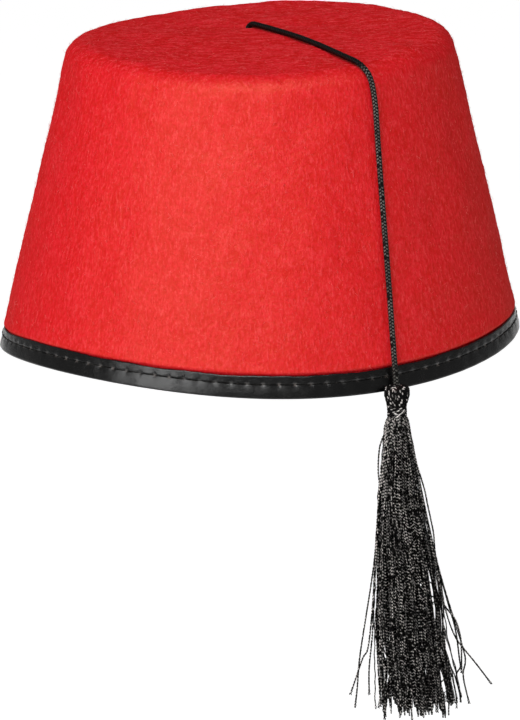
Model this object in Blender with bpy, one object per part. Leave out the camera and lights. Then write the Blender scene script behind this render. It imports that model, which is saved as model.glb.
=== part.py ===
# Fez hat: a stiff felt crown with a bound rim, and a braided cord with a tassel.
# Metres, +Z up. The origin is at the middle of the rim's plane, where the head goes in.
# A heading is an angle round the hat, from its front (-Y) towards +X.

from math import atan2, cos, pi, radians, sin, tau

import bmesh
import bpy
from mathutils import Vector

# Crown: its outer face is a sloping wall, a round shoulder and a flat top
CROWN_HEIGHT = 0.1131
RIM_RADIUS = 0.0937
TOP_RADIUS = 0.0694             # where the wall's line would meet the top
SHOULDER_RADIUS = 0.0074
SHOULDER_STEPS = 6
FLAT_RINGS = (0.42, 0.75)       # rings across the flat top, as shares of its radius
FELT = 0.002
AROUND = 80

# The felt is not quite true: the top sits askew, the plan is oval and the rim and top are wavy
TOP_SHIFT = Vector((0.0035, -0.0003))
OVAL_SHARE = 0.0095
LOBE_SHARE = 0.007
LOBE_HEADING = radians(14)
#   crests round the hat, heading of a crest, height of a crest
RIM_WAVES = (
    (2, radians(-52.5), 0.00198),
    (3, radians(-50.0), 0.00094),
)
TOP_WAVES = (
    (2, radians(-71.5), 0.00066),
    (3, radians(49.7), 0.00055),
)

# Hole for the cord, slanting back through the top
HOLE_RADIUS = 0.0019
HOLE_CENTRE = Vector((-0.0019, 0.0185, 0.1121))
HOLE_DIRECTION = Vector((-0.38, 0.60, -0.71))
HOLE_DEPTH = 0.012

# Binding: a strip folded over the rim
BINDING = 0.001
BINDING_HEIGHT = 0.0081
BINDING_INSIDE_HEIGHT = 0.0074
BINDING_EDGE = 0.0004
FOLD_RADIUS = 0.0017
FOLD_MIDDLE = 0.29              # how far a quarter circle's middle stands in, as a share of its radius
STITCH_HEIGHT = 0.0051
STITCH_SINK = 0.0004
PUFF = 0.00015

# Cord, from the knot inside to the tassel's head
GAP = 0.0003
CORD_DIAMETER = 0.002
CORD_SPACING = 0.0034
KNOT_RADIUS = 0.0032
KNOT_FLATTENING = 0.85
CORD_ROUTE = (
    (-0.0027, 0.0197, 0.1101),
    (-0.0024, 0.0193, 0.1110),
    (-0.00215, 0.0189, 0.11186),
    (-0.0015, 0.0179, 0.1132),
    (-0.0007, 0.0167, 0.1141),
    (0.0002, 0.0152, 0.1144),
    (0.0013, 0.0136, 0.1144),
    (0.0042, 0.0091, 0.1144),
    (0.0089, 0.0018, 0.1144),
    (0.0143, -0.0071, 0.1144),
    (0.0198, -0.0175, 0.1144),
    (0.0251, -0.0287, 0.1143),
    (0.0304, -0.0405, 0.1142),
    (0.0339, -0.0482, 0.11415),
    (0.0371, -0.0549, 0.1142),
    (0.0390, -0.0576, 0.1135),
    (0.0407, -0.0590, 0.1120),
    (0.0420, -0.0596, 0.1101),
    (0.0430, -0.0602, 0.1078),
    (0.0437, -0.0606, 0.1042),
    (0.0443, -0.0615, 0.0984),
    (0.0446, -0.0630, 0.0914),
    (0.0449, -0.0648, 0.0828),
    (0.0456, -0.0682, 0.0660),
    (0.0465, -0.0719, 0.0471),
    (0.0473, -0.0755, 0.0293),
    (0.0477, -0.0775, 0.0192),
    (0.0480, -0.0790, 0.0128),
    (0.0482, -0.0808, 0.0076),
    (0.0484, -0.0821, 0.0046),
    (0.0485, -0.0827, 0.0023),
    (0.0485, -0.0830, 0.0001),
)

# Tassel: rows down a head, a neck and a skirt whose locks deepen towards the hem
TASSEL_AXIS = Vector((0.0485, -0.0860, 0.0))
TASSEL_HEADING = radians(29.5)
LOCKS = 13
COLUMNS_PER_LOCK = 5
LOCK_VARIATION = 0.35
HEM_DROP = 0.0045
HEM_BULGE = 0.0035
#   height, shift to +X, shift to +Y, half width, half depth, depth of the locks
TASSEL_ROWS = (
    (-0.0003, 0.0000, 0.0027, 0.0015, 0.0010, 0.00),
    (-0.0008, 0.0000, 0.0021, 0.0030, 0.0016, 0.02),
    (-0.0016, 0.0000, 0.0014, 0.0041, 0.0021, 0.04),
    (-0.0028, 0.0000, 0.0004, 0.0046, 0.0028, 0.05),
    (-0.0042, 0.0000, 0.0000, 0.0047, 0.0033, 0.05),
    (-0.0056, 0.0000, 0.0000, 0.0046, 0.0034, 0.05),
    (-0.0067, 0.0000, 0.0000, 0.0041, 0.0032, 0.04),
    (-0.0075, 0.0000, 0.0000, 0.0032, 0.0028, 0.02),
    (-0.0079, 0.0000, 0.0000, 0.0026, 0.0026, 0.00),
    (-0.0127, 0.0000, 0.0000, 0.0026, 0.0026, 0.00),
    (-0.0131, 0.0000, 0.0000, 0.0034, 0.0031, 0.02),
    (-0.0155, 0.0000, 0.0000, 0.0041, 0.0036, 0.05),
    (-0.0190, -0.0002, 0.0000, 0.0049, 0.0042, 0.08),
    (-0.0243, 0.0000, 0.0000, 0.0060, 0.0051, 0.10),
    (-0.0318, -0.0002, 0.0000, 0.0072, 0.0061, 0.12),
    (-0.0410, -0.0005, 0.0000, 0.0082, 0.0070, 0.14),
    (-0.0505, 0.0001, 0.0000, 0.0095, 0.0080, 0.15),
    (-0.0656, 0.0014, 0.0000, 0.0117, 0.0099, 0.16),
    (-0.0807, 0.0020, 0.0000, 0.0134, 0.0113, 0.18),
    (-0.0958, 0.0023, 0.0000, 0.0141, 0.0120, 0.20),
    (-0.1090, 0.0037, 0.0000, 0.0146, 0.0126, 0.23),
    (-0.1195, 0.0044, 0.0000, 0.0146, 0.0127, 0.28),
)
NECK_RADIUS = 0.0026

# Thread wound round the neck
WRAP_TOP = -0.0082
WRAP_TURNS = 5
WRAP_PITCH = 0.00084
WRAP_RIDGE = 0.00022
WRAP_RADIUS = 0.0033
WRAP_STEPS = 3
WRAP_AROUND = 20

FELT_RED = (0.62, 0.022, 0.022)
BINDING_BLACK = (0.012, 0.010, 0.009)
CORD_BLACK = (0.010, 0.008, 0.007)
THREAD_BLACK = (0.014, 0.011, 0.010)

wall_slope = atan2(RIM_RADIUS - TOP_RADIUS, CROWN_HEIGHT)
felt_across = FELT / cos(wall_slope)


def clear_scene():
    for item in list(bpy.data.objects):
        bpy.data.objects.remove(item)


def make_material(name, colour, roughness):
    material = bpy.data.materials.new(name)
    material.use_nodes = True
    shader = material.node_tree.nodes["Principled BSDF"]
    shader.inputs["Base Color"].default_value = (*colour, 1.0)
    shader.inputs["Roughness"].default_value = roughness
    shader.inputs["Metallic"].default_value = 0.0
    return material


def out_of_round(heading):
    """The share by which the hat's plan is wider or narrower than a circle."""
    return 1.0 - OVAL_SHARE * cos(2 * heading) + LOBE_SHARE * cos(3 * (heading - LOBE_HEADING))


def wave_height(waves, heading):
    return sum(height * cos(crests * (heading - crest)) for crests, crest, height in waves)


def plan_point(radius, heading, height):
    """The true place of a point of the ideal cone; the waves fade out across the flat top."""
    share = height / CROWN_HEIGHT
    fade = min(radius / (TOP_RADIUS - SHOULDER_RADIUS), 1.0) ** 2
    rim, top = wave_height(RIM_WAVES, heading), wave_height(TOP_WAVES, heading)
    reach = radius * out_of_round(heading)
    return Vector((
        TOP_SHIFT.x * share + reach * sin(heading),
        TOP_SHIFT.y * share - reach * cos(heading),
        height + fade * (rim * (1.0 - share) + top * share),
    ))


def wall_radius(height, inset=0.0):
    """The radius of the sloping wall's face that lies inset inside the outer face."""
    return RIM_RADIUS - (RIM_RADIUS - TOP_RADIUS) * height / CROWN_HEIGHT - inset / cos(wall_slope)


def crown_face(inset, foot):
    """Radius and height down one face of the crown, from the flat top to the foot."""
    centre_height = CROWN_HEIGHT - SHOULDER_RADIUS
    centre_radius = wall_radius(centre_height, SHOULDER_RADIUS)
    bend = SHOULDER_RADIUS - inset
    face = [(centre_radius * share, CROWN_HEIGHT - inset) for share in FLAT_RINGS]
    for step in range(SHOULDER_STEPS + 1):
        turn = pi / 2 - (pi / 2 - wall_slope) * step / SHOULDER_STEPS
        face.append((centre_radius + bend * cos(turn), centre_height + bend * sin(turn)))
    face.append((wall_radius(foot, inset), foot))
    return face


def ring_headings(count):
    return [tau * step / count for step in range(count)]


def finish_object(name, bm, material):
    """Turn a bmesh into a named object with smooth round faces and sharp edges."""
    bmesh.ops.recalc_face_normals(bm, faces=bm.faces)
    mesh = bpy.data.meshes.new(name)
    bm.to_mesh(mesh)
    bm.free()
    mesh.materials.append(material)
    mesh.shade_smooth()
    mesh.set_sharp_from_angle(angle=radians(40))
    item = bpy.data.objects.new(name, mesh)
    bpy.context.scene.collection.objects.link(item)
    return item


def loft(name, rings, material, tips=None):
    """Skin equal rings of points; each end closes on its tip, or the last ring meets the first."""
    bm = bmesh.new()
    loops = [[bm.verts.new(point) for point in ring] for ring in rings]
    count = len(rings[0])
    pairs = list(zip(loops, loops[1:]))
    if tips is None:
        pairs.append((loops[-1], loops[0]))
    for upper, lower in pairs:
        for step in range(count):
            following = (step + 1) % count
            bm.faces.new((upper[step], lower[step], lower[following], upper[following]))
    if tips is not None:
        for loop, tip in zip((loops[0], loops[-1]), tips):
            point = bm.verts.new(tip)
            for step in range(count):
                bm.faces.new((loop[step], point, loop[(step + 1) % count]))
    return finish_object(name, bm, material)


def smooth_route(points, spacing):
    """A Catmull-Rom curve through the points, read at equal steps along its length."""
    nodes = [Vector(point) for point in points]
    nodes = [2 * nodes[0] - nodes[1], *nodes, 2 * nodes[-1] - nodes[-2]]
    dense = []
    for before, start, end, after in zip(nodes, nodes[1:], nodes[2:], nodes[3:]):
        for step in range(16):
            t = step / 16
            dense.append(0.5 * (2 * start + (end - before) * t
                                + (2 * before - 5 * start + 4 * end - after) * t ** 2
                                + (3 * start - before - 3 * end + after) * t ** 3))
    dense.append(nodes[-2])
    walked = [0.0]
    for start, end in zip(dense, dense[1:]):
        walked.append(walked[-1] + (end - start).length)
    count = round(walked[-1] / spacing)
    route = []
    index = 0
    for step in range(count + 1):
        distance = walked[-1] * step / count
        while index < len(dense) - 2 and walked[index + 1] < distance:
            index += 1
        share = (distance - walked[index]) / (walked[index + 1] - walked[index])
        route.append(dense[index].lerp(dense[index + 1], share))
    return route


def cut_cord_hole(crown):
    bm = bmesh.new()
    bmesh.ops.create_cone(bm, cap_ends=True, segments=14, depth=HOLE_DEPTH,
                          radius1=HOLE_RADIUS, radius2=HOLE_RADIUS)
    mesh = bpy.data.meshes.new("cord_hole_cutter")
    bm.to_mesh(mesh)
    bm.free()
    cutter = bpy.data.objects.new("cord_hole_cutter", mesh)
    bpy.context.scene.collection.objects.link(cutter)
    cutter.rotation_euler = HOLE_DIRECTION.to_track_quat("Z", "Y").to_euler()
    cutter.location = HOLE_CENTRE
    cutter.hide_render = True
    cutter.display_type = "WIRE"
    cut = crown.modifiers.new("cord hole", "BOOLEAN")
    cut.operation = "DIFFERENCE"
    cut.object = cutter


def make_crown(felt):
    """Felt of one thickness: the outer face from the top down, then the inner face back up."""
    foot = BINDING + GAP
    profile = crown_face(0.0, foot) + crown_face(FELT, foot)[::-1]
    rings = [[plan_point(radius, heading, height) for heading in ring_headings(AROUND)]
             for radius, height in profile]
    tips = (plan_point(0.0, 0.0, CROWN_HEIGHT), plan_point(0.0, 0.0, CROWN_HEIGHT - FELT))
    cut_cord_hole(loft("crown", rings, felt, tips))


def make_rim_binding(leather):
    """The strip's section is folded round the felt's foot, with the stitch line's valley outside."""
    inner = GAP
    outer = inner + BINDING
    far_inner = -felt_across - GAP
    far_outer = far_inner - BINDING
    fold_in = FOLD_RADIUS * FOLD_MIDDLE
    valley_foot = STITCH_HEIGHT * 0.6
    #   distance outside the felt's outer face, height
    section = (
        (inner, BINDING_HEIGHT - BINDING_EDGE),
        (outer - BINDING_EDGE, BINDING_HEIGHT),
        (outer, BINDING_HEIGHT - BINDING_EDGE),
        (outer + PUFF, (BINDING_HEIGHT + STITCH_HEIGHT) / 2),
        (outer - STITCH_SINK, STITCH_HEIGHT),
        (outer + PUFF, valley_foot),
        (outer, FOLD_RADIUS),
        (outer - fold_in, fold_in),
        (outer - FOLD_RADIUS, 0.0),
        (far_outer + FOLD_RADIUS, 0.0),
        (far_outer + fold_in, fold_in),
        (far_outer, FOLD_RADIUS),
        (far_outer, BINDING_INSIDE_HEIGHT - BINDING_EDGE),
        (far_outer + BINDING_EDGE, BINDING_INSIDE_HEIGHT),
        (far_inner, BINDING_INSIDE_HEIGHT - BINDING_EDGE),
        (far_inner, BINDING),
        (inner, BINDING),
    )
    rings = [[plan_point(wall_radius(height) + outside, heading, height) for outside, height in section]
             for heading in ring_headings(AROUND)]
    loft("rim_binding", rings, leather)


def make_cord(material):
    points = smooth_route(CORD_ROUTE, CORD_SPACING)
    curve = bpy.data.curves.new("tassel_cord", "CURVE")
    curve.dimensions = "3D"
    curve.bevel_depth = CORD_DIAMETER / 2
    curve.bevel_resolution = 2
    curve.use_fill_caps = True
    spline = curve.splines.new("POLY")
    spline.points.add(len(points) - 1)
    for point, place in zip(spline.points, points):
        point.co = (*place, 1.0)
    curve.materials.append(material)
    item = bpy.data.objects.new("tassel_cord", curve)
    bpy.context.scene.collection.objects.link(item)


def make_cord_knot(material):
    """A squashed ball just past the cord's inner end, under the top."""
    end, following = Vector(CORD_ROUTE[0]), Vector(CORD_ROUTE[1])
    inward = (end - following).normalized()
    bm = bmesh.new()
    bmesh.ops.create_uvsphere(bm, u_segments=14, v_segments=9, radius=KNOT_RADIUS)
    for vertex in bm.verts:
        vertex.co.z *= KNOT_FLATTENING
    bmesh.ops.rotate(bm, verts=bm.verts, matrix=inward.to_track_quat("Z", "Y").to_matrix())
    bmesh.ops.translate(bm, verts=bm.verts, vec=end + inward * (GAP + KNOT_RADIUS * KNOT_FLATTENING))
    finish_object("cord_knot", bm, material)


def lock_wave(turn):
    """From -1 between two locks to 1 on a lock's crest, with unequal locks."""
    wave = cos(LOCKS * turn) + LOCK_VARIATION * sin(4 * turn + 1.0)
    return wave / (1.0 + LOCK_VARIATION)


def make_tassel(material):
    """Oval rings down the tassel, fluted into locks; the hem hangs lowest on each crest and in its middle."""
    along = Vector((cos(TASSEL_HEADING), sin(TASSEL_HEADING), 0.0))
    out = Vector((sin(TASSEL_HEADING), -cos(TASSEL_HEADING), 0.0))
    rings = []
    for row, (height, shift_x, shift_y, half_width, half_depth, lock_depth) in enumerate(TASSEL_ROWS):
        centre = TASSEL_AXIS + Vector((shift_x, shift_y, height))
        drop = HEM_DROP if row == len(TASSEL_ROWS) - 1 else 0.0
        ring = []
        for turn in ring_headings(LOCKS * COLUMNS_PER_LOCK):
            wave = lock_wave(turn)
            size = 1.0 + lock_depth * (wave - 1.0) / 2
            point = centre + along * (half_width * size * cos(turn)) + out * (half_depth * size * sin(turn))
            point.z -= drop * wave
            ring.append(point)
        rings.append(ring)
    first, last = TASSEL_ROWS[0], TASSEL_ROWS[-1]
    tips = (TASSEL_AXIS + Vector((first[1], first[2], first[0])),
            TASSEL_AXIS + Vector((last[1], last[2], last[0] - HEM_BULGE)))
    loft("tassel", rings, material, tips)


def make_neck_wrap(material):
    """Turns of thread as a ridged ring round the tassel's neck."""
    inner = NECK_RADIUS + GAP
    section = [(inner, WRAP_TOP)]
    for step in range(WRAP_TURNS * WRAP_STEPS + 1):
        share = step / WRAP_STEPS
        ridge = WRAP_RIDGE * abs(sin(pi * share))
        section.append((WRAP_RADIUS + ridge, WRAP_TOP - WRAP_PITCH * share))
    section.append((inner, WRAP_TOP - WRAP_PITCH * WRAP_TURNS))
    rings = []
    for turn in ring_headings(WRAP_AROUND):
        rings.append([TASSEL_AXIS + Vector((radius * cos(turn), radius * sin(turn), height))
                      for radius, height in section])
    loft("neck_wrap", rings, material)


def make_hat():
    felt = make_material("red felt", FELT_RED, 0.95)
    leather = make_material("black imitation leather", BINDING_BLACK, 0.4)
    cord = make_material("black cord", CORD_BLACK, 0.6)
    thread = make_material("black thread", THREAD_BLACK, 0.5)
    make_crown(felt)
    make_rim_binding(leather)
    make_cord(cord)
    make_cord_knot(cord)
    make_tassel(thread)
    make_neck_wrap(thread)


clear_scene()
make_hat()
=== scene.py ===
# Fez hat of stiff red felt, with a bound rim and a braided cord that hangs a tassel of loose threads.
# Metres, in the frame's axes. A heading is an angle round the hat, from its front (-Y) towards +X.
# Each new shape is a grid of points, worked out for the whole grid at once.

from math import atan2, cos, hypot, pi, radians, sin, sqrt, tau

import bpy
import numpy as np
from mathutils import Matrix, Vector


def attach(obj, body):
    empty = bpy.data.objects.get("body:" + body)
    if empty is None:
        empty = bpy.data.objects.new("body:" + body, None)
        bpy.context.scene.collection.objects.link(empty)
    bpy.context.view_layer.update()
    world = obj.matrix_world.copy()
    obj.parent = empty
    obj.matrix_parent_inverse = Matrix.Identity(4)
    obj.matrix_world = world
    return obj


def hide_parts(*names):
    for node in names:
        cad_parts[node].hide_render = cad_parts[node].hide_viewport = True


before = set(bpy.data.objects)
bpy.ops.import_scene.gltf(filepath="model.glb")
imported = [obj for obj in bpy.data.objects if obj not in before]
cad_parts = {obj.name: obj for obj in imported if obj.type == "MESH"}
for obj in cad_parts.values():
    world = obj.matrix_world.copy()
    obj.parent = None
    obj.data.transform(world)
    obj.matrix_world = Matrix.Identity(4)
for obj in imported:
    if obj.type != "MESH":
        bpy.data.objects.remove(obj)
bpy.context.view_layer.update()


# camera at the photograph's angle
viewpoint = dict(
    distance=4.0,
    elevation=13.26,
    aim=(-0.00056, -0.00211, -0.00895),
    roll=-1.89,
    lens=540,
    sensor=36,
)


def addObject(name, data):
    made = bpy.data.objects.new(name, data)
    bpy.context.scene.collection.objects.link(made)
    return made


def makeCamera():
    data = bpy.data.cameras.new("camera")
    data.sensor_fit = "VERTICAL"
    data.sensor_height = viewpoint["sensor"]
    data.lens = viewpoint["lens"]
    data.clip_end = 60
    camera = addObject("camera", data)
    lift = radians(viewpoint["elevation"])
    camera.location = (0, -viewpoint["distance"] * cos(lift), viewpoint["distance"] * sin(lift))
    towards = Vector(viewpoint["aim"]) - camera.location
    turn = towards.to_track_quat("-Z", "Y").to_matrix() @ Matrix.Rotation(radians(viewpoint["roll"]), 3, "Z")
    camera.rotation_euler = turn.to_euler()
    bpy.context.scene.camera = camera


class nodeValue:
    # an output socket that takes part in sums: each operator adds one Math node behind it
    def __init__(self, finish, socket):
        self.finish = finish
        self.socket = socket

    def maths(self, operation, other=0.0):
        return self.finish.node("ShaderNodeMath", {"operation": operation}, {0: self, 1: other})

    def __add__(self, other):
        return self.maths("ADD", other)

    def __sub__(self, other):
        return self.maths("SUBTRACT", other)

    def __rsub__(self, other):
        return self.maths("MULTIPLY", -1.0).maths("ADD", other)

    def __mul__(self, other):
        return self.maths("MULTIPLY", other)

    __rmul__ = __mul__


class surfaceFinish:
    # a material with its Principled shader; node() makes every node that varies it
    def __init__(self, name, colour, roughness, **steady):
        self.material = bpy.data.materials.new(name)
        self.material.use_nodes = True
        self.tree = self.material.node_tree
        self.shader = self.tree.nodes["Principled BSDF"]
        self.shader.inputs["Base Color"].default_value = (*colour, 1)
        self.shader.inputs["Roughness"].default_value = roughness
        for words, value in steady.items():
            self.shader.inputs[words.replace("_", " ")].default_value = value

    def join(self, socket, value):
        if isinstance(value, nodeValue):
            self.tree.links.new(value.socket, socket)
        else:
            socket.default_value = value

    def node(self, kind, settings={}, sockets={}, output=0):
        made = self.tree.nodes.new(kind)
        for name, setting in settings.items():
            setattr(made, name, setting)
        for name, value in sockets.items():
            self.join(made.inputs[name], value)
        return nodeValue(self, made.outputs[output])

    def place(self, stretch=(1, 1, 1), kind="Object"):
        where = self.node("ShaderNodeTexCoord", output=kind)
        return self.node("ShaderNodeMapping", sockets={"Vector": where, "Scale": stretch})

    def surfacePlace(self, stretch=(1, 1, 1)):
        return self.place(stretch, "UV")

    def noise(self, where, size, detail=2, roughness=0.5, distortion=0):
        # size is the width of a lump in metres
        sockets = {"Vector": where, "Scale": 1 / size, "Detail": detail, "Roughness": roughness,
                   "Distortion": distortion}
        return self.node("ShaderNodeTexNoise", sockets=sockets)

    def ramp(self, value, low, high, lowest=0, highest=1):
        # lowest below low, highest above high, and a smooth rise between them
        sockets = {"Value": value, "From Min": low, "From Max": high, "To Min": lowest, "To Max": highest}
        return self.node("ShaderNodeMapRange", {"interpolation_type": "SMOOTHSTEP"}, sockets)

    def mixColours(self, share, first, second):
        return self.node("ShaderNodeMix", {"data_type": "RGBA"}, {0: share, 6: first, 7: second}, 2)

    def part(self, vector, number):
        # one of a vector's three numbers
        return self.node("ShaderNodeSeparateXYZ", sockets={"Vector": vector}, output=number)

    def use(self, socket, value):
        self.join(self.shader.inputs[socket], value)

    def bump(self, height, distance, strength=1):
        sockets = {"Height": height, "Distance": distance, "Strength": strength}
        relief = self.node("ShaderNodeBump", sockets=sockets)
        self.use("Normal", relief)
        return relief

    def glaze(self, share, colour, roughness, relief):
        # a coloured gloss over the finish: a steady share of a second, metallic shader
        sockets = {"Base Color": (*colour, 1), "Metallic": 1, "Roughness": roughness, "Normal": relief}
        gloss = self.node("ShaderNodeBsdfPrincipled", sockets=sockets)
        body = nodeValue(self, self.shader.outputs[0])
        both = self.node("ShaderNodeMixShader", sockets={0: share, 1: body, 2: gloss})
        self.join(self.tree.nodes["Material Output"].inputs["Surface"], both)


def unit(vectors):
    return vectors / np.maximum(np.linalg.norm(vectors, axis=-1, keepdims=True), 1e-12)


def gridQuads(rows, columns, rowsMeet=False):
    # every cell's four corners as row and column numbers; the columns go round, so the last meets the first
    row, column = np.meshgrid(np.arange(rows if rowsMeet else rows - 1), np.arange(columns), indexing="ij")
    cornerRow = np.stack([row, row + 1, row + 1, row], -1).reshape(-1, 4)
    cornerColumn = np.stack([column, column, column + 1, column + 1], -1).reshape(-1, 4)
    return cornerRow, cornerColumn, (cornerRow % rows) * columns + cornerColumn % columns


def makePiece(name, points, blocks, finish, slot):
    # blocks are pairs of faces, all of one corner count, and their corners' uv, or None
    points = np.asarray(points, float).reshape(-1, 3)
    volume = 0
    for faces, _ in blocks:
        for corner in range(1, faces.shape[1] - 1):
            crossed = np.cross(points[faces[:, corner]], points[faces[:, corner + 1]])
            volume += np.einsum("ij,ij->", points[faces[:, 0]], crossed)
    turned = slice(None, None, 1 if volume > 0 else -1)        # faces point outwards
    corners = np.concatenate([faces[:, turned].ravel() for faces, _ in blocks])
    sizes = np.concatenate([np.full(len(faces), faces.shape[1]) for faces, _ in blocks])
    uv = np.concatenate([(np.zeros((*faces.shape, 2)) if part is None else part)[:, turned].reshape(-1, 2)
                         for faces, part in blocks])
    mesh = bpy.data.meshes.new(name)
    mesh.vertices.add(len(points))
    mesh.vertices.foreach_set("co", points.astype(np.float32).ravel())
    mesh.loops.add(len(corners))
    mesh.loops.foreach_set("vertex_index", corners.astype(np.int32))
    mesh.polygons.add(len(sizes))
    mesh.polygons.foreach_set("loop_start", (np.cumsum(sizes) - sizes).astype(np.int32))
    mesh.update(calc_edges=True)
    mesh.uv_layers.new(name="surface").uv.foreach_set("vector", uv.astype(np.float32).ravel())
    mesh.polygons.foreach_set("use_smooth", np.ones(len(sizes), bool))
    mesh.materials.append(finish.material)
    piece = addObject(name, mesh)
    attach(piece, "root")
    triangles = int((sizes - 2).sum())
    print(f"{name}: {triangles} triangles")
    return piece


def tubeBlocks(along, sides):
    # faces of closed tubes, one for each row of along; uv's first number is the tube's own number and
    # the share of the way round it, its second is taken from along, which holds one number for every ring
    count, rings = along.shape
    cornerRow, cornerColumn, quads = gridQuads(rings, sides)
    first = (np.arange(count) * rings * sides)[:, None, None]
    walls = (quads[None] + first).reshape(-1, 4)
    shareRound = cornerColumn[None] / sides * 0.98        # ends short of the next tube's number
    around = shareRound + np.arange(count)[:, None, None]
    uv = np.stack([around, along[:, cornerRow]], -1).reshape(-1, 4, 2)
    cap = np.arange(sides)[None]
    near = cap + first[:, 0]
    far = cap[:, ::-1] + first[:, 0] + (rings - 1) * sides
    return [(walls, uv), (near, None), (far, None)]


def joinBlocks(parts):
    # one mesh from several (points, blocks) pairs
    points = []
    blocks = []
    start = 0
    for part, partBlocks in parts:
        part = np.asarray(part, float).reshape(-1, 3)
        points.append(part)
        blocks.extend((faces + start, uv) for faces, uv in partBlocks)
        start += len(part)
    return np.concatenate(points), blocks


def crossDirections(paths, outward):
    # side is square to the path and to the outward direction, and up is square to the path and to side
    along = unit(np.gradient(paths, axis=-2))
    side = unit(np.cross(along, outward))
    return side, np.cross(side, along)


def sweep(paths, outward, section):
    # carries a section along every path: a point lies at path + side * across + up * out
    side, up = crossDirections(paths, outward)
    across, out = section[..., 0:1], section[..., 1:2]
    return paths[:, :, None] + across * side[:, :, None] + out * up[:, :, None]


def levelDirection(heading):
    return np.stack([np.sin(heading), -np.cos(heading), 0 * heading], -1)


def ovalSection(sides, halfWidth, halfHeight):
    turn = np.arange(sides) / sides * tau
    return np.stack([halfWidth * np.cos(turn), halfHeight * np.sin(turn)], -1)


def pathLengths(paths):
    steps = np.linalg.norm(np.diff(paths, axis=1), axis=-1)
    return np.concatenate([np.zeros((len(paths), 1)), np.cumsum(steps, axis=1)], axis=1)


# the two plies of a thread, as shares of its radius
plyPlan = dict(
    reach=0.5,                  # of a ply's centre from the thread's
    halfWidth=0.72,
    halfHeight=0.54,
)


def twistedThreads(paths, outward, radius, pitch, sides, phases, fray=0.0, frayLength=0.004):
    # two plies wound round each path: each ply's centre turns once in a pitch, at its reach from the path;
    # fray opens them over the last stretch. uv goes on by the ply's turns, and a ply lies outermost a
    # quarter of the way through each turn
    walked = pathLengths(paths)
    side, up = crossDirections(paths, outward)
    turn = walked / pitch * tau + np.reshape(phases, (-1, 1))
    opened = np.clip(1 - (walked[:, -1:] - walked) / frayLength, 0, 1)[..., None]
    section = ovalSection(sides, radius * plyPlan["halfWidth"], radius * plyPlan["halfHeight"])
    tubes = []
    turns = []
    for half in (0, pi):
        angle = (turn + half)[..., None]
        outwards = np.cos(angle) * side + np.sin(angle) * up
        reach = radius * plyPlan["reach"] + fray * opened ** 2
        tubes.append(sweep(paths + outwards * reach, outwards, section))
        turns.append((turn + half) / tau)
    return np.concatenate(tubes), tubeBlocks(np.concatenate(turns), sides)


def smoothRoute(points, spacing):
    # a curve through every point, each stretch a cubic that leans towards its neighbours, at equal steps
    nodes = np.asarray(points, float)
    nodes = np.concatenate([2 * nodes[:1] - nodes[1:2], nodes, 2 * nodes[-1:] - nodes[-2:-1]])
    before, start, end, after = (nodes[shift:len(nodes) - 3 + shift, None] for shift in range(4))
    t = (np.arange(16) / 16)[None, :, None]
    dense = 0.5 * (2 * start + (end - before) * t + (2 * before - 5 * start + 4 * end - after) * t ** 2
                   + (3 * start - before - 3 * end + after) * t ** 3)
    dense = np.concatenate([dense.reshape(-1, nodes.shape[1]), nodes[-2:-1]])
    walked = np.concatenate([[0], np.cumsum(np.linalg.norm(np.diff(dense, axis=0), axis=1))])
    steps = np.linspace(0, walked[-1], int(round(walked[-1] / spacing)) + 1)
    return np.stack([np.interp(steps, walked, column) for column in dense.T], -1)


def roughness(points, height, size, seed):
    # smooth random heights, height in spread: a sum of plane waves about size long, in random directions
    chance = np.random.default_rng(seed)
    waves = 28
    direction = unit(chance.normal(size=(waves, 3))) / (size * chance.uniform(0.7, 1.5, (waves, 1)))
    waved = np.cos(tau * points @ direction.T + chance.uniform(0, tau, waves))
    return height * (waved.sum(-1) / sqrt(waves / 2))


def wander(chance, distance, longest, count=5):
    # each path's own slow swing with a spread of about 1: waves from longest down to a count-th of it
    harmonic = np.arange(1, count + 1)
    size = (len(distance), 1, count)
    phase = chance.uniform(0, tau, size)
    strength = chance.normal(size=size) / harmonic
    return (strength * np.sin(tau * distance[..., None] * harmonic / longest + phase)).sum(-1)


# the cord, from its knot to the tassel
cordPlan = dict(
    diameter=0.002,
    strands=3,                  # wound each way
    pitch=0.0037,               # one turn of a strand
    ringStep=0.00034,
    sides=7,
    middleRadius=0.00075,       # of the strands' centres
    weave=0.00012,              # how far a strand goes over and under the others
    strandHalfWidth=0.00056,
    strandHalfHeight=0.00027,
    route=(
        (-0.0016, 0.0194, 0.1101), (-0.0013, 0.0190, 0.1110), (-0.0010, 0.0186, 0.1119),
        (-0.0004, 0.0176, 0.1133), (0.0005, 0.0162, 0.1142), (0.0016, 0.0146, 0.1145),
        (0.0029, 0.0128, 0.1145), (0.0055, 0.0088, 0.1145), (0.0094, 0.0026, 0.1145),
        (0.0146, -0.0061, 0.1145), (0.0200, -0.0164, 0.1145), (0.0252, -0.0272, 0.1144),
        (0.0303, -0.0389, 0.1143), (0.0340, -0.0480, 0.1143), (0.0370, -0.0553, 0.1143),
        (0.0391, -0.0582, 0.1135), (0.0409, -0.0597, 0.1119), (0.0422, -0.0604, 0.1100),
        (0.0430, -0.0608, 0.1078), (0.0437, -0.0613, 0.1042), (0.0443, -0.0623, 0.0984),
        (0.0446, -0.0639, 0.0914), (0.0449, -0.0658, 0.0828), (0.0456, -0.0695, 0.0660),
        (0.0465, -0.0735, 0.0471), (0.0473, -0.0774, 0.0293), (0.0477, -0.0795, 0.0192),
        (0.0480, -0.0811, 0.0128), (0.0482, -0.0825, 0.0076), (0.0484, -0.0835, 0.0046),
        (0.0485, -0.0839, 0.0023), (0.0485, -0.0842, 0.0001), (0.0485, -0.0845, -0.0014),
    ),
)


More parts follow.
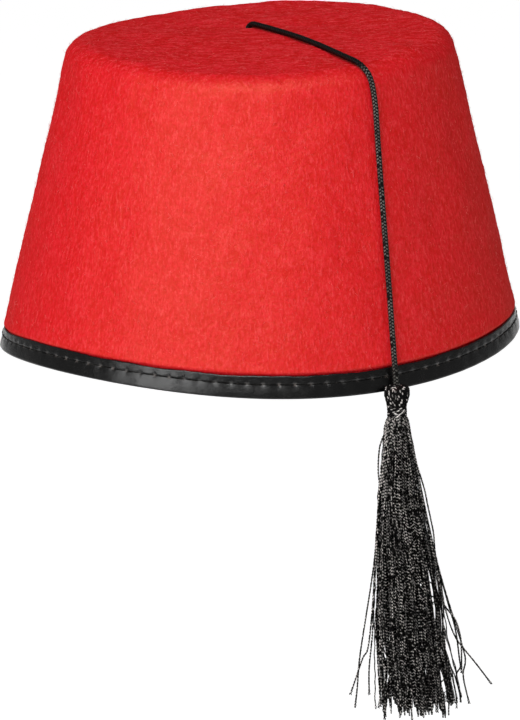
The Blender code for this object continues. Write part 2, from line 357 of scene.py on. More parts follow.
def braid(path, outward):
    # strands wound both ways round the path, alike in number: in a turn each rises and dips as often as
    # there are strands one way, so that where two cross, one lies over and the next one under. uv goes on
    # by those rises, and a strand lies uppermost a quarter of the way through each
    plan = cordPlan
    walked = pathLengths(path[None])[0]
    side, up = crossDirections(path, outward)
    turn = walked / plan["pitch"] * tau
    section = ovalSection(plan["sides"], plan["strandHalfWidth"], plan["strandHalfHeight"])
    tubes = []
    rises = []
    for way in (1, -1):
        start = np.arange(plan["strands"])[:, None] * tau / plan["strands"]
        angle = (way * turn + start)[..., None]
        outwards = np.cos(angle) * side + np.sin(angle) * up
        reach = plan["middleRadius"] + way * plan["weave"] * np.cos(plan["strands"] * turn)
        tubes.append(sweep(path + outwards * reach[:, None], outwards, section))
        rises.append(plan["strands"] * turn / tau + 0.5 - way * 0.25 + 0 * start)
    return np.concatenate(tubes), tubeBlocks(np.concatenate(rises), plan["sides"])


def makeCord(finish):
    path = smoothRoute(cordPlan["route"], cordPlan["ringStep"])
    run = path[-1] - path[0]
    acrossRun = np.array([-run[1], run[0], 0]) / hypot(run[0], run[1])
    points, blocks = braid(path, acrossRun)
    return makePiece("braided_cord", points, blocks, finish, "cord"), path


# the knot that stops the cord under the top
knotPlan = dict(
    size=0.00082,               # what the next three count in
    place=3.1,                  # of the knot's middle, inward from the cord's start
    ringRadius=1.8,
    windRadius=1.15,
    span=(0.035, 0.93),         # shares of the whole knot: it is open between its two ends
    steps=90,
)


def makeKnot(finish, cordPath):
    # an overhand knot on a ring: it goes round the ring twice while it winds round it three times
    plan = knotPlan
    size = plan["size"]
    inward = unit(cordPath[0] - cordPath[4])
    side = unit(np.cross(inward, [0, 0, 1.0]))
    other = np.cross(inward, side)
    t = np.linspace(*plan["span"], plan["steps"])[:, None] * tau
    ring = np.cos(2 * t) * side + np.sin(2 * t) * other
    outward = np.cos(3 * t) * ring + np.sin(3 * t) * inward
    wound = plan["ringRadius"] * ring + plan["windRadius"] * outward
    path = cordPath[0] + inward * size * plan["place"] + size * wound
    return makePiece("cord_knot_tied", *braid(path, outward), finish, "cord")


feltPlan = dict(
    height=0.1131,
    rimRadius=0.0955,
    topRadius=0.0697,           # where the wall's line would meet the top
    shoulderRadius=0.0080,
    thickness=0.002,
    foot=0.0013,                # the wall ends inside the binding's fold
    topShift=(0.00375, -0.0003),
    rimShift=(0.0001, 0),
    ovalShare=0.0095,
    lobeShare=0.007,
    lobeHeading=14,
    rimWaves=((2, -52.5, 0.00198), (3, -50, 0.00094)),     # crests, heading of a crest, its height
    topWaves=((2, -71.5, 0.00066), (3, 49.7, 0.00055)),
    around=400,
    outerRows=(26, 16, 78),     # across the flat top, round the shoulder and down the wall
    innerRows=(12, 8, 34),
    closeRows=((0.83, 0.0115), (0.97, 0.0056)),     # share of the wall's rows and height: close between them
    middle=(0, 0, 0.04),
    pressed=0.0015,             # how far the binding presses the felt in
    pressedBelow=0.0089,
    pressedOver=0.0008,         # the height over which that sets in
    holeOutside=(-0.0007, 0.0181),
    holeInside=(-0.00126, 0.01895),
    holeHalfWidth=0.00112,
    holeHalfLength=0.0015,      # along the slanting cord
    dimpleDepth=0.0007,
    dimpleReach=0.0026,
    broadLumps=(0.00016, 0.024, 3),         # height, width and seed
    smallLumps=(0.00006, 0.0055, 4),
    insideLumps=(0.0001, 0.012, 5),
)
wallSlope = atan2(feltPlan["rimRadius"] - feltPlan["topRadius"], feltPlan["height"])


def outOfRound(heading):
    lobes = feltPlan["lobeShare"] * np.cos(3 * (heading - radians(feltPlan["lobeHeading"])))
    return 1 - feltPlan["ovalShare"] * np.cos(2 * heading) + lobes


def waveHeight(waves, heading):
    return sum(height * np.cos(crests * (heading - radians(crest))) for crests, crest, height in waves)


def planPoint(radius, heading, height):
    # the true place of a point of the ideal cone: the plan is stretched out of round, the top stands
    # askew, and the rim's and the top's waves are mixed by height and fade out across the flat top
    share = height / feltPlan["height"]
    fade = np.minimum(radius / (feltPlan["topRadius"] - feltPlan["shoulderRadius"]), 1) ** 2
    waves = waveHeight(feltPlan["rimWaves"], heading) * (1 - share)
    waves = waves + waveHeight(feltPlan["topWaves"], heading) * share
    reach = radius * outOfRound(heading)
    shiftX, shiftY = (feltPlan["rimShift"][axis] * (1 - share) + feltPlan["topShift"][axis] * share
                      for axis in range(2))
    return np.stack(np.broadcast_arrays(shiftX + reach * np.sin(heading), shiftY - reach * np.cos(heading),
                                        height + fade * waves), -1)


def wallPlace(points):
    # the height of a point of the wall above the rim, with the waves taken off
    heading = np.arctan2(points[..., 0], -points[..., 1])
    rim = waveHeight(feltPlan["rimWaves"], heading)
    return (points[..., 2] - rim) / (1 - rim / feltPlan["height"])


def wallRadius(height, inset=0.0):
    fall = (feltPlan["rimRadius"] - feltPlan["topRadius"]) * height / feltPlan["height"]
    return feltPlan["rimRadius"] - fall - inset / cos(wallSlope)


def feltFace(inset, hole, flatRows, bendRows, wallRows):
    # one face of the felt, from the hole's edge to the foot: across the flat top an oval ring round the
    # hole grows into the shoulder's circle, then come the shoulder's arc and the straight wall
    plan = feltPlan
    heading = np.arange(plan["around"]) / plan["around"] * tau
    centreHeight = plan["height"] - plan["shoulderRadius"]
    centreRadius = wallRadius(centreHeight, plan["shoulderRadius"])
    bend = plan["shoulderRadius"] - inset
    x = hole[0] - plan["topShift"][0]
    y = hole[1] - plan["topShift"][1]
    scale = 1 / outOfRound(atan2(x, -y))
    lean = atan2(*(np.subtract(plan["holeInside"], plan["holeOutside"])))       # the cord's slant, from above
    lengthwise = np.cos(heading - pi + lean) * plan["holeHalfLength"]
    crosswise = np.sin(heading - pi + lean) * plan["holeHalfWidth"]
    ringX = x * scale + lengthwise * sin(lean) + crosswise * cos(lean)
    ringY = y * scale + lengthwise * cos(lean) - crosswise * sin(lean)
    grow = (np.linspace(0, 1, flatRows, endpoint=False) ** 1.6)[:, None]
    flatX = ringX * (1 - grow) + centreRadius * np.sin(heading) * grow
    flatY = ringY * (1 - grow) - centreRadius * np.cos(heading) * grow
    turn = np.linspace(pi / 2, wallSlope, bendRows)[:, None]
    level = np.ones_like(heading)
    foot = centreHeight + bend * sin(wallSlope)
    walk = np.linspace(0, 1, wallRows + 1)[1:, None]
    shares, heights = zip((0, foot), *plan["closeRows"], (1, plan["foot"]))
    wallHeight = np.interp(walk, shares, heights) * level
    radius = np.concatenate([np.hypot(flatX, flatY), (centreRadius + bend * np.cos(turn)) * level,
                             wallRadius(wallHeight, inset)])
    height = np.concatenate([np.full_like(flatX, plan["height"] - inset),
                             (centreHeight + bend * np.sin(turn)) * level, wallHeight])
    headings = np.concatenate([np.arctan2(flatX, -flatY), np.tile(heading, (bendRows + wallRows, 1))])
    return planPoint(radius, headings, height)


def gridNormals(points):
    # the square direction of each point of a face whose columns go round
    around = np.roll(points, -1, axis=1) - np.roll(points, 1, axis=1)
    return unit(np.cross(np.gradient(points, axis=0), around))


def makeFelt(finish):
    plan = feltPlan
    middle = np.array(plan["middle"])
    outside = feltFace(0.0, plan["holeOutside"], *plan["outerRows"])
    inside = feltFace(plan["thickness"], plan["holeInside"], *plan["innerRows"])
    # the felt is pinched at its hole: the outer face sinks there and the inner one rises
    for face, hole, way in ((outside, plan["holeOutside"], -1), (inside, plan["holeInside"], 0.4)):
        apart = np.hypot(face[..., 0] - hole[0], face[..., 1] - hole[1])
        near = np.exp(-(apart / plan["dimpleReach"]) ** 2) * (face[..., 2] > plan["height"] * 0.9)
        face[..., 2] += way * plan["dimpleDepth"] * near
    normals = gridNormals(outside)
    normals = normals * np.sign((normals * (outside - middle)).sum(-1, keepdims=True))
    lumps = roughness(outside, *plan["broadLumps"]) + roughness(outside, *plan["smallLumps"])
    sag = endSag(bindingPlan["height"], np.arctan2(outside[..., 0], -outside[..., 1]))
    depth = plan["pressedBelow"] - sag - wallPlace(outside)
    covered = np.clip(depth / plan["pressedOver"], 0, 1) ** 1.2
    outside = outside + normals * (lumps * (1 - covered) - plan["pressed"] * covered)[..., None]
    dents = roughness(inside, *plan["insideLumps"])
    inside = inside + dents[..., None] * unit(inside - middle)
    points = np.concatenate([outside, inside[::-1]])
    rows, columns = points.shape[:2]
    _, _, quads = gridQuads(rows, columns, rowsMeet=True)
    piece = makePiece("felt_crown", points, [(quads, None)], finish, "felt")
    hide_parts("crown")
    return outside, normals


fuzzPlan = dict(
    count=9500,
    length=(0.0008, 0.0030),
    halfWidth=0.000032,
    lift=0.00032,
    leastLift=0.00004,
    sink=0.00008,               # of the root, into the felt
    bend=0.35,
    bareRows=(2, 9),            # of the felt, at the hole and under the binding
    seed=11,
)


def makeFuzz(finish, outside, normals):
    # loose fibres of the felt: each is a three-sided spindle that starts inside the surface, bends and
    # lies nearly flat; places are drawn evenly by area
    plan = fuzzPlan
    count = plan["count"]
    chance = np.random.default_rng(plan["seed"])
    columns = outside.shape[1]
    along = outside[1:] - outside[:-1]
    around = np.roll(outside, -1, axis=1)[:-1] - outside[:-1]
    area = np.linalg.norm(np.cross(along, around), axis=-1)
    atHole, underBinding = plan["bareRows"]
    area[:atHole] = 0
    area[-underBinding:] = 0
    cell = chance.choice(area.size, count, p=area.ravel() / area.sum())
    row, column = np.divmod(cell, columns)
    spot = chance.random((2, count, 1))
    root = outside[row, column] + spot[0] * along[row, column] + spot[1] * around[row, column]
    normal = normals[row, column]
    flat = unit(np.cross(chance.normal(size=(count, 3)), normal))
    flat[:, 2] *= 1.5                                          # more of them lie up and down the wall
    flat = unit(flat)
    bend = np.cross(flat, normal) * chance.normal(size=(count, 1)) * plan["bend"]
    length = chance.uniform(*plan["length"], (count, 1)) * chance.uniform(0.5, 1, (count, 1))
    lift = np.abs(chance.normal(size=(count, 1))) * plan["lift"] + plan["leastLift"]
    share = np.array([0, 0.3, 0.68, 1])[None, :, None]         # of its length, at its root, rings and tip
    rise = np.array([0, 0.55, 1.0, 1.15])[None, :, None]
    path = (root[:, None] + share * (length * flat)[:, None] + share ** 2 * (length * bend)[:, None]
            + rise * (lift * normal)[:, None])
    path[:, 0] = root - normal * plan["sink"]
    ring = sweep(path, normal[:, None], ovalSection(3, plan["halfWidth"], plan["halfWidth"]))[:, 1:3]
    points = np.concatenate([ring.reshape(-1, 6, 3), path[:, 0:1], path[:, 3:4]], axis=1)
    start = (np.arange(count) * 8)[:, None, None]
    side = np.array([[0, 3, 4, 1], [1, 4, 5, 2], [2, 5, 3, 0]])
    ends = np.array([[6, 0, 1], [6, 1, 2], [6, 2, 0], [7, 4, 3], [7, 5, 4], [7, 3, 5]])
    blocks = [((side + start).reshape(-1, 4), None), ((ends + start).reshape(-1, 3), None)]
    makePiece("felt_fibres", points, blocks, finish, "felt")


bindingPlan = dict(
    outerFace=-0.0002,          # outside the wall's line: the strip lies in the felt that it presses in
    gap=0.0003,                 # to the felt's inner face
    thickness=0.0007,
    height=0.0081,
    insideHeight=0.0074,
    edge=0.00034,
    foldRadius=0.0006,
    around=1212,
    valleyHeight=0.0051,
    valleyDepth=0.0001,
    valleyWidths=(0.0022, 0.0002),         # of its slope below and of its step above
    stitches=101,
    holeDepth=0.00026,
    holeReach=0.0008,
    wrinkleShare=0.75,          # of a pit's depth that its wrinkles fill
    tuck=(0.00005, 0.0016),     # depth between the holes, and how far above and below them it reaches
    lowerLean=0.00014,          # how far the lower edge stands out past the stitch line
    edgeWaves=((0.0001, 0.017, 21), (0.00004, 0.004, 22)),      # of the upper edge: height, width and seed
    swell=(0.00005, 0.009, 23),
    drop=(0.00014, 0.00015, 0.00008),       # of the whole strip, more on the right, more at the lower edge
    sags=((-1, 0.0017, 0.0004), (1, 0.0009, 0)),        # side (+1 is +X), of the upper and the lower edge
    sagSharpness=21.5,          # each sag fades over 17 degrees either way
)


def endSag(height, heading):
    # the strip dips at the hat's two ends, and each sag is deepest there
    lift = np.clip(height / bindingPlan["height"], 0, 1) ** 2
    return sum((lower + (upper - lower) * lift)
               * np.exp(bindingPlan["sagSharpness"] * (side * np.sin(heading) - 1))
               for side, upper, lower in bindingPlan["sags"])


def bindingPlace(outside, height, heading):
    # the true place of a point of the strip, which sags at the ends and lies a little lower all round
    everywhere, rightSide, lowerEdge = bindingPlan["drop"]
    low = np.clip(1 - height / bindingPlan["valleyHeight"], 0, 1)
    drop = everywhere + rightSide * np.sin(heading) + lowerEdge * low
    sagged = height - endSag(height, heading)
    return planPoint(wallRadius(sagged) + outside, heading, sagged - drop)


def bindingSurface(outside, height, heading):
    # the strip's outer face, which leans out below the stitch line; then come the valley, a sharp
    # step above and a long slope below, and round every needle hole a pit with four diagonal wrinkles
    plan = bindingPlan
    below = np.clip((plan["valleyHeight"] - height) / (plan["valleyHeight"] - plan["foldRadius"]), 0, 1)
    lean = plan["lowerLean"] * np.sin(pi / 2 * below)
    apart = height - plan["valleyHeight"]
    notch = plan["valleyDepth"] * np.exp(-(apart / np.where(apart < 0, *plan["valleyWidths"])) ** 2)
    pitch = tau / plan["stitches"]
    aside = ((heading / pitch + 0.5) % 1 - 0.5) * pitch * feltPlan["rimRadius"]
    reach = np.hypot(aside, apart)
    wrinkles = 1 - plan["wrinkleShare"] * np.sin(2 * np.arctan2(apart, aside)) ** 2
    pit = plan["holeDepth"] * np.exp(-(reach / plan["holeReach"]) ** 2) * wrinkles
    tuckDepth, tuckReach = plan["tuck"]
    tuck = tuckDepth * np.cos(tau * heading / pitch) * np.exp(-(apart / tuckReach) ** 2)
    return outside + lean - notch - pit - tuck


def bindingSection():
    # the strip's closed section as distance outside the wall's face, height, and 1 on the outer face
    plan = bindingPlan
    outer = plan["outerFace"]
    inner = outer - plan["thickness"]
    farInner = -feltPlan["thickness"] / cos(wallSlope) - plan["gap"]
    farOuter = farInner - plan["thickness"]
    edge, fold = plan["edge"], plan["foldRadius"]

    def arc(centre, radius, start, end, count):
        turn = np.radians(np.linspace(start, end, count))
        return np.stack([centre[0] + radius * np.cos(turn), centre[1] + radius * np.sin(turn),
                         np.zeros(count)], -1)

    face = np.linspace(plan["height"] - edge, fold, 24)[1:-1]
    inside = np.linspace(fold, plan["insideHeight"] - edge, 5)[1:-1]
    parts = [
        arc((outer - edge, plan["height"] - edge), edge, 90, 0, 5),
        np.stack([np.full_like(face, outer), face, np.ones_like(face)], -1),
        arc((outer - fold, fold), fold, 0, -90, 8),
        arc((farOuter + fold, fold), fold, -90, -180, 6),
        np.stack([np.full_like(inside, farOuter), inside, np.zeros_like(inside)], -1),
        arc((farOuter + edge, plan["insideHeight"] - edge), edge, 180, 90, 4),
        np.array([(farInner, plan["insideHeight"] - edge, 0), (farInner, plan["thickness"], 0),
                  (inner, plan["thickness"], 0), (inner, plan["height"] - edge, 0)]),
    ]
    return np.concatenate(parts)


def makeBinding(finish):
    plan = bindingPlan
    outside, height, face = (column[:, None] for column in bindingSection().T)
    heading = (np.arange(plan["around"]) / plan["around"] * tau)[None]
    circle = np.stack([np.sin(heading[0]), np.cos(heading[0]), 0 * heading[0]], -1) * feltPlan["rimRadius"]
    upper = np.clip(height / plan["height"], 0, 1) ** 3
    height = height + upper * sum(roughness(circle, *wave) for wave in plan["edgeWaves"])
    swell = roughness(circle, *plan["swell"])
    low = height < plan["valleyHeight"]
    bend = np.where(low, plan["foldRadius"], plan["edge"])
    nearness = np.clip(1 + (outside - plan["outerFace"]) / bend, 0, 1)
    edgeLean = np.where(low, plan["lowerLean"], 0) * nearness
    outside = np.where(face > 0, bindingSurface(outside, height, heading), outside + edgeLean)
    outside = outside + swell * nearness
    points = bindingPlace(outside, height, heading)
    rows, columns = points.shape[:2]
    cornerRow, cornerColumn, quads = gridQuads(rows, columns, rowsMeet=True)
    section = bindingSection()
    down = np.concatenate([[0], np.cumsum(np.hypot(*np.diff(section[:, :2], axis=0).T))])
    onFace = section[:, 2] > 0
    down = down - np.interp(-plan["valleyHeight"], -section[onFace, 1], down[onFace])
    down = np.append(down, down[-1])
    uv = np.stack([cornerColumn / columns * tau * feltPlan["rimRadius"], down[cornerRow]], -1)
    piece = makePiece("bound_rim", points, [(quads, uv)], finish, "binding")
    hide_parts("rim_binding")


stitchPlan = dict(
    threadRadius=0.00021,
    twist=0.0011,
    lift=0.00022,
    sink=0.0007,
    span=(0.04, 0.96),          # from one needle hole to the next
    rings=17,
    sides=4,
)


def makeStitches(finish):
    # each stitch runs in the valley from one needle hole to the next and dives into both
    plan = stitchPlan
    pitch = tau / bindingPlan["stitches"]
    share = np.linspace(*plan["span"], plan["rings"])[None]
    heading = (np.arange(bindingPlan["stitches"])[:, None] + share) * pitch
    outer = bindingPlan["outerFace"] - bindingPlan["valleyDepth"]
    rise = np.minimum(np.sin(pi * share) * 1.8, 1)
    outside = outer - plan["sink"] + (plan["sink"] + plan["lift"]) * rise
    paths = bindingPlace(outside, bindingPlan["valleyHeight"] + 0 * heading, heading)
    points, blocks = twistedThreads(paths, levelDirection(heading), plan["threadRadius"], plan["twist"],
                                    plan["sides"], np.zeros(len(paths)))
    makePiece("rim_stitches", points, blocks, finish, "thread")


tasselPlan = dict(
    axis=(0.0485, -0.0867),
    heading=29.5,
    threadRadius=0.00029,
    strayRadius=0.00039,
    twist=0.0023,
    neckTop=-0.0074,
    neckRadius=0.0030,
    outerThreads=86,
    outerShares=(0.72, 1.0),    # of the section's area, inside an outer thread
    innerThreads=160,
    innerReach=0.88,
    innerThickness=1.15,
    rings=300,
    innerRings=96,
    sides=3,
    start=0.0012,               # of the threads, under the neck's top
    locks=13,
    lockVariation=0.35,
    crowding=2.6,               # of the threads, towards the locks' crests
    turnSpread=0.10,            # how far a thread's end lies to the side of its start, in turn
    drift=0.045,                # how far it wanders, in turn and in share
    driftWaves=(0.13, 0.10),    # the longest of them
    crimp=0.00010,
    crimpWave=0.016,
    driftFrom=(0.013, 0.05),    # depth under the axis's zero, and the length over which it sets in
    tuftsFrom=(0.110, 0.014),
    crimpFrom=(0.0125, 0.008),
    hemSpread=0.0009,
    longThreads=(0.08, 0.002),  # their share, and how much longer they are
    lowestTip=-0.1253,
    hemRise=0.28,               # of the threads in front, for their distance from the axis
    tuftPull=0.16,              # how far the ends draw in to the tufts' tips
    slits=(                     # across from the axis and height, at the top and at the bottom; half width
        (0.0095, -0.0680, 0.0121, -0.0930, 0.0009),
        (0.0061, -0.0705, 0.0072, -0.0790, 0.0007),
        (0.0128, -0.1060, 0.0152, -0.1220, 0.0008),
        (-0.0073, -0.0975, -0.0065, -0.1045, 0.0007),
        (-0.0056, -0.1075, -0.0066, -0.1135, 0.0008),
        (-0.0112, -0.0700, -0.0108, -0.0790, 0.0007),
    ),
    seed=5,
)
#   height, middle's shift to +X, half width, half depth, depth of the locks
tasselRows = np.array((
    (-0.0074, 0.0000, 0.0029, 0.0029, 0.00),
    (-0.0112, 0.0000, 0.0031, 0.0031, 0.00),
    (-0.0128, -0.0001, 0.0042, 0.0037, 0.02),
    (-0.0155, -0.0003, 0.0050, 0.0042, 0.03),
    (-0.0190, -0.0003, 0.0054, 0.0046, 0.04),
    (-0.0243, 0.0000, 0.0060, 0.0051, 0.05),
    (-0.0318, -0.0002, 0.0072, 0.0061, 0.06),
    (-0.0410, -0.0005, 0.0082, 0.0070, 0.07),
    (-0.0505, 0.0001, 0.0095, 0.0080, 0.08),
    (-0.0656, 0.0014, 0.0117, 0.0099, 0.09),
    (-0.0807, 0.0020, 0.0134, 0.0113, 0.10),
    (-0.0958, 0.0023, 0.0141, 0.0120, 0.12),
    (-0.1090, 0.0040, 0.0156, 0.0127, 0.14),
    (-0.1190, 0.0046, 0.0168, 0.0130, 0.16),
    (-0.1270, 0.0050, 0.0172, 0.0132, 0.16),
))
#   across from the axis and height of the hem: the tufts' tips and the notches between them, in turn
hemOutline = np.array((
    (-0.0125, -0.1185), (-0.0098, -0.1222), (-0.0085, -0.1196), (-0.0076, -0.1232), (-0.0063, -0.1168),
    (-0.0056, -0.1205), (-0.0046, -0.1172), (-0.0026, -0.1222), (-0.0013, -0.1216), (0.0002, -0.1228),
    (0.0024, -0.1204), (0.0057, -0.1240), (0.0071, -0.1217), (0.0094, -0.1242), (0.0104, -0.1194),
    (0.0142, -0.1251), (0.0151, -0.1196), (0.0184, -0.1215), (0.0205, -0.1180),
))
tasselAlong = np.array([cos(radians(tasselPlan["heading"])), sin(radians(tasselPlan["heading"])), 0])
tasselOut = np.array([tasselAlong[1], -tasselAlong[0], 0])


def besideMiddle(middle, along, out):
    # places beside the tassel's middle line: its section's width lies along, and its depth out
    return middle + tasselAlong * along[..., None] + tasselOut * out[..., None]


def skirtPoint(share, turn, height):
    # a place inside the skirt: share of the way out from its middle, turn round it, and height;
    # the locks crowd the threads towards their crests and leave furrows between them
    plan = tasselPlan
    shift, width, depth, lock = (np.interp(height, tasselRows[::-1, 0], column[::-1])
                                 for column in tasselRows[:, 1:].T)
    wave = np.cos(plan["locks"] * turn) + plan["lockVariation"] * np.sin(4 * turn + 1)
    size = share * (1 + lock * (wave / (1 + plan["lockVariation"]) - 1) / 2)
    crowded = turn - lock * plan["crowding"] * np.sin(plan["locks"] * turn) / plan["locks"]
    middle = np.stack([plan["axis"][0] + shift, plan["axis"][1] + 0 * shift, height], -1)
    return besideMiddle(middle, width * size * np.cos(crowded), depth * size * np.sin(crowded))


def setIn(height, depth, length):
    return np.clip((-height - depth) / length, 0, 1)


def skirtPaths(chance, share, turn, rings):
    # threads from the neck to the hem, each at its own share and turn, which drift down its length; the
    # hem's outline sets how far each one reaches, and near it the threads draw in to the tufts' tips
    plan = tasselPlan
    count = len(share)
    fall = np.linspace(0, 1, rings)[None]
    start = plan["neckTop"] - plan["start"]
    height = start + (-0.122 - start) * fall + np.zeros((count, 1))
    loose = setIn(height, *plan["driftFrom"])
    turnWave, shareWave = plan["driftWaves"]
    aside = chance.normal(size=(count, 1)) * plan["turnSpread"]
    turn = turn + (aside + wander(chance, height, turnWave, 4) * plan["drift"]) * loose
    share = np.clip(share * (1 + wander(chance, height, shareWave, 4) * plan["drift"] * loose), 0, 1.1)
    end = skirtPoint(share, turn, height)[:, -1:]
    across = end[..., 0] - plan["axis"][0]
    forward = np.maximum(plan["axis"][1] - end[..., 1], 0)
    hem = np.interp(across, *hemOutline.T) + plan["hemRise"] * forward
    hem = hem + chance.normal(size=(count, 1)) * plan["hemSpread"]
    longShare, longer = plan["longThreads"]
    hem = hem - longer * (chance.random((count, 1)) < longShare)
    height = start + (np.maximum(hem, plan["lowestTip"]) - start) * fall
    places = skirtPoint(share, turn, height)
    tips = hemOutline[1::2, 0]
    nearest = tips[np.abs(across - tips).argmin(axis=1)][:, None]
    places[..., 0] += (nearest - across) * plan["tuftPull"] * setIn(height, *plan["tuftsFrom"]) ** 1.5
    for acrossTop, top, acrossBottom, bottom, half in plan["slits"]:
        # the threads part round a slit: a thread that is d to its side moves out to the root of d^2 + w^2
        share = np.clip((height - top) / (bottom - top), 0, 1)
        apart = places[..., 0] - plan["axis"][0] - acrossTop - (acrossBottom - acrossTop) * share
        wide = half * np.sin(pi * share)
        places[..., 0] += np.sign(apart) * (np.hypot(apart, wide) - np.abs(apart))
    sways = [wander(chance, height, plan["crimpWave"], 3) for way in range(2)]
    crimp = np.stack([*sways, 0 * height], -1)
    return places + crimp * plan["crimp"] * setIn(height, *plan["crimpFrom"])[..., None]


def awayFromAxis(paths):
    # the level direction from the tassel's middle line to each place
    away = paths - [*tasselPlan["axis"], 0]
    away[..., 2] = 0
    return unit(away)


# threads that stray from the skirt: places as across (to +X) and height from the axis, in millimetres
strayThreads = (
    ((-3.4, -15.5), (-4.9, -17.5), (-6.5, -21.5), (-7.2, -25.9), (-7.5, -31.5), (-7.0, -37.2), (-6.6, -42.8),
     (-7.6, -55.0), (-9.0, -72.0), (-9.9, -92.0), (-9.3, -119.0)),
    ((4.3, -20.0), (6.1, -27.1), (9.0, -37.7), (10.0, -43.4), (11.8, -53.6), (12.1, -58.5), (12.3, -62.2),
     (13.6, -76.0), (14.8, -95.0), (15.6, -117.0)),
    ((4.0, -20.0), (6.6, -32.0), (8.2, -44.0), (10.6, -55.0), (13.1, -71.7), (14.7, -80.4), (18.9, -86.9),
     (20.6, -93.4), (20.8, -98.3), (20.6, -107.0)),
    ((4.2, -19.0), (7.0, -32.0), (9.6, -50.0), (13.0, -66.0), (16.2, -80.0), (18.8, -90.7), (20.0, -102.1),
     (20.2, -105.1), (18.7, -108.4), (20.3, -116.4)),
    ((4.1, -19.0), (7.2, -34.0), (10.4, -52.0), (14.0, -70.0), (18.2, -86.0), (21.5, -98.3), (22.1, -102.9),
     (21.2, -108.5), (23.1, -118.8)),
    ((3.9, -18.0), (6.6, -32.0), (9.8, -52.0), (13.2, -72.0), (16.2, -86.0), (18.7, -93.3), (21.2, -97.2),
     (25.8, -103.4), (31.4, -111.5)),
    ((-4.2, -20.0), (-6.9, -34.0), (-8.4, -50.0), (-9.8, -63.0), (-11.7, -74.7), (-16.1, -98.9),
     (-17.6, -112.0), (-18.6, -119.0)),
    ((-4.0, -20.0), (-6.7, -34.0), (-8.9, -54.0), (-10.8, -78.0), (-13.1, -96.0), (-15.4, -100.8),
     (-20.2, -114.0)),
    ((-3.9, -20.0), (-6.2, -34.0), (-8.4, -54.0), (-10.2, -74.0), (-11.5, -91.5), (-13.0, -104.0),
     (-13.3, -114.1)),
    ((3.0, -20.0), (5.2, -40.0), (8.0, -60.0), (10.5, -80.0), (12.2, -100.0), (13.6, -122.4)),
    ((3.0, -20.0), (5.0, -40.0), (7.4, -60.0), (9.8, -80.0), (11.8, -100.0), (11.4, -121.8)),
    ((-3.0, -20.0), (-5.4, -42.0), (-7.6, -66.0), (-8.6, -90.0), (-8.4, -108.0), (-7.9, -123.8)),
    ((0.2, -20.0), (0.4, -44.0), (0.9, -70.0), (1.4, -98.0), (2.1, -124.8)),
)


def strayPaths(rings):
    # each stray leaves the neck with the rest and then follows its own places, a little forward
    paths = []
    for number, places in enumerate(strayThreads):
        across, height = np.array(places).T / 1000
        apart = 0.0006 * (number % 3)                  # strays that cross lie at different depths
        forward = 0.0022 + apart + np.clip(-height - 0.02, 0, 0.03) * 0.09
        start = [(0.3 * across[0], 0.0006, -0.0090), (0.55 * across[0], 0.0018, -0.0128)]
        points = np.concatenate([start, np.stack([across, forward, height], -1)])
        points = points * [1, -1, 1] + [*tasselPlan["axis"], 0]
        route = smoothRoute(points, 0.0002)
        picked = np.linspace(0, len(route) - 1, rings).round().astype(int)
        paths.append(route[picked])
    return np.array(paths)


def makeSkirt(finish):
    plan = tasselPlan
    chance = np.random.default_rng(plan["seed"])
    count = plan["outerThreads"]
    turn = (np.arange(count) + chance.uniform(-0.35, 0.35, count))[:, None] / count * tau
    share = np.sqrt(chance.uniform(*plan["outerShares"], (count, 1)))
    outer = skirtPaths(chance, share, turn, plan["rings"])
    half = count // 2
    for name, paths, radius in (("tassel_threads_one", outer[:half], plan["threadRadius"]),
                                ("tassel_threads_two", outer[half:], plan["threadRadius"]),
                                ("tassel_strays", strayPaths(plan["rings"]), plan["strayRadius"])):
        points, blocks = twistedThreads(paths, awayFromAxis(paths), radius, plan["twist"], plan["sides"],
                                        chance.uniform(0, tau, len(paths)), fray=0.00022)
        piece = makePiece(name, points, blocks, finish, "thread")
        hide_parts("tassel")
    # inside the skirt the threads stand evenly, each a golden angle on from the last
    count = plan["innerThreads"]
    number = np.arange(count)[:, None]
    goldenAngle = pi * (3 - sqrt(5))
    share = plan["innerReach"] * np.sqrt((number + 0.5) / count)
    inner = skirtPaths(chance, share, number * goldenAngle, plan["innerRings"])
    radius = plan["threadRadius"] * plan["innerThickness"]
    tubes = sweep(inner, awayFromAxis(inner), ovalSection(plan["sides"], radius, radius))
    turns = pathLengths(inner) / plan["twist"] * 2 + chance.uniform(0, 1, (count, 1))
    piece = makePiece("tassel_threads_inner", tubes, tubeBlocks(turns, plan["sides"]), finish, "thread")
    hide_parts("tassel")


headPlan = dict(
    middle=-0.0021,             # height of the widest place
    rise=0.0018,
    halfWidth=0.0042,
    halfDepth=0.0036,
    lean=0.0016,                # how far the top leans back under the cord
    flatness=0.62,              # under 1, the dome is flatter than a ball's
    sideShare=0.3,              # of a thread, which climbs the side; as much goes down again
    thickness=1.12,             # of the threads, in the skirt's
    twist=0.0017,
    rings=100,
    drape=34,                   # heading that the core's threads are folded over
    coreThreads=15,             # plain ones that fill the head
    coreRidge=(-0.98, 0.98),
    coreSwell=0.86,
    coreRings=40,
    coreSection=(4, 0.00042, 0.00036),
    seed=8,
)
# the layers of threads folded over the head, each with the places and headings of its first and last
# thread, and how far they stand out as shares of the head's size; the second crosses over the first
headLayers = (
    dict(threads=21, ridge=(-0.96, 0.96), shift=0.02, drape=(34, 34), swell=(0.95, 0.05), waver=(0.018, 0.6)),
    dict(threads=9, ridge=(-0.8, 0.62), shift=0.08, drape=(96, 128), swell=(1.05, 0.06), waver=(0.03, 0.5)),
)


